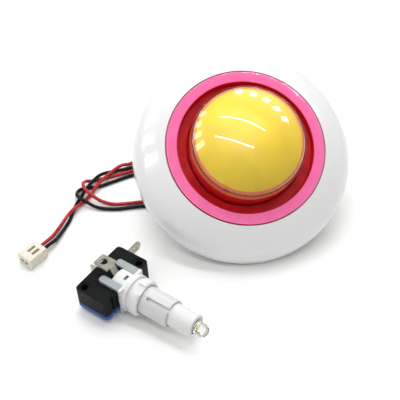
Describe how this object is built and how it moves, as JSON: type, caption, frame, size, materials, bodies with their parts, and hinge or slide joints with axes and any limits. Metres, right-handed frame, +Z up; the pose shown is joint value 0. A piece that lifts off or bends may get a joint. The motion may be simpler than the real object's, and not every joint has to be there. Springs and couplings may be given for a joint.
{
  "type": "illuminated dome push button with lamp and switch module",
  "caption": "Domed quiz buzzer button with a light ring and threaded barrel, its two-wire lead, and the unplugged lamp holder with snap-action switch",
  "frame": {"origin": "middle of the footprint of the rigid pieces, on the table", "axes": "+Z up from the table; +Y away from the viewer, towards the raised side of the button; +X to the viewer's right"},
  "size_m": [0.1429, 0.1269, 0.0576],
  "materials": {
    "white_plastic": "glossy white moulded plastic",
    "natural_plastic": "satin natural white nylon",
    "milky_plastic": "slightly translucent milky plastic",
    "pink_lens": "glossy translucent pink",
    "clear_plastic": "clear polished plastic",
    "yellow_plastic": "translucent amber yellow",
    "board": "white solder mask",
    "led": "white LED package with yellow phosphor",
    "steel": "zinc plated",
    "nickel": "nickel plated brass, slightly dull",
    "rubber": "matt black rubber",
    "black_plastic": "satin black phenolic",
    "blue_plastic": "satin blue plastic",
    "ivory_plastic": "satin ivory nylon",
    "red_insulation": "glossy red wire insulation",
    "black_insulation": "glossy black wire insulation"
  },
  "bodies": {
    "housing": {"bezel_shell": "white_plastic", "light_ring_lens": "pink_lens", "led_ring_board": "board", "led_1": "led", "led_2": "led", "led_3": "led", "led_4": "led", "led_5": "led", "led_6": "led", "led_7": "led", "led_8": "led", "barrel_housing": "white_plastic", "body_screw_1": "steel", "body_screw_2": "steel", "body_screw_3": "steel", "body_screw_4": "steel", "wire_grommet": "rubber", "red_wire": "red_insulation", "black_wire": "black_insulation", "connector_housing": "ivory_plastic", "red_contact": "nickel", "black_contact": "nickel", "return_spring": "steel"},
    "push_button": {"dome_cover": "clear_plastic", "dome_insert": "yellow_plastic", "plunger": "natural_plastic"},
    "clamp_washer": {"panel_washer": "white_plastic"},
    "clamp_nut": {"panel_nut": "white_plastic"},
    "module": {"lamp_holder": "natural_plastic", "lamp_socket": "natural_plastic", "upper_lamp_terminal": "nickel", "lower_lamp_terminal": "nickel", "switch_case": "black_plastic", "switch_cover": "blue_plastic", "common_terminal": "nickel", "open_terminal": "nickel"},
    "sleeve": {"lamp_sleeve": "milky_plastic"},
    "switch_plunger": {"switch_button": "natural_plastic"},
    "contact_blade": {"switch_blade": "steel"},
    "lamp": {"lamp_bulb": "clear_plastic", "lamp_base": "natural_plastic"}
  },
  "joints": [
    {"name": "dome_press", "type": "slide", "parent": "housing", "child": "push_button", "axis": [-0.1045, 0.4874, -0.8669], "range_m": [0, 0.0032], "stiffness_N_per_m": 300, "springref_m": -0.005, "deforming": ["return_spring"]},
    {"name": "nut_travel", "type": "slide", "parent": "housing", "child": "clamp_washer", "axis": [-0.1045, 0.4874, -0.8669], "range_m": [0, 0.0075]},
    {"name": "nut_turn", "type": "hinge", "parent": "clamp_washer", "child": "clamp_nut", "pos_m": [0.00923, 0.02482, 0.01849], "axis": [-0.1045, 0.4874, -0.8669], "range_deg": [0, 1080]},
    {"name": "module_lift", "type": "slide", "parent": "housing", "child": "module", "axis": [0, 0, 1], "range_m": [0, 0.1]},
    {"name": "sleeve_press", "type": "slide", "parent": "module", "child": "sleeve", "axis": [-0.8121, 0.5814, -0.0502], "range_m": [0, 0.0011], "stiffness_N_per_m": 400, "springref_m": -0.001},
    {"name": "switch_press", "type": "slide", "parent": "module", "child": "switch_plunger", "axis": [-0.8121, 0.5814, -0.0502], "range_m": [0, 0.0011]},
    {"name": "blade_turn", "type": "hinge", "parent": "module", "child": "contact_blade", "pos_m": [-0.03708, -0.0289, 0.00756], "axis": [-0.0408, 0.0292, 0.9987], "range_deg": [-4.7, 0]},
    {"name": "lamp_pull", "type": "slide", "parent": "module", "child": "lamp", "axis": [0.8121, -0.5814, 0.0502], "range_m": [0, 0.012]}
  ],
  "couplings": [
    {"joint": "nut_turn", "follows": "nut_travel", "rad_per_m": 2513.3},
    {"joint": "switch_press", "follows": "sleeve_press", "ratio": 1},
    {"joint": "blade_turn", "follows": "sleeve_press", "rad_per_m": -72.46}
  ]
}
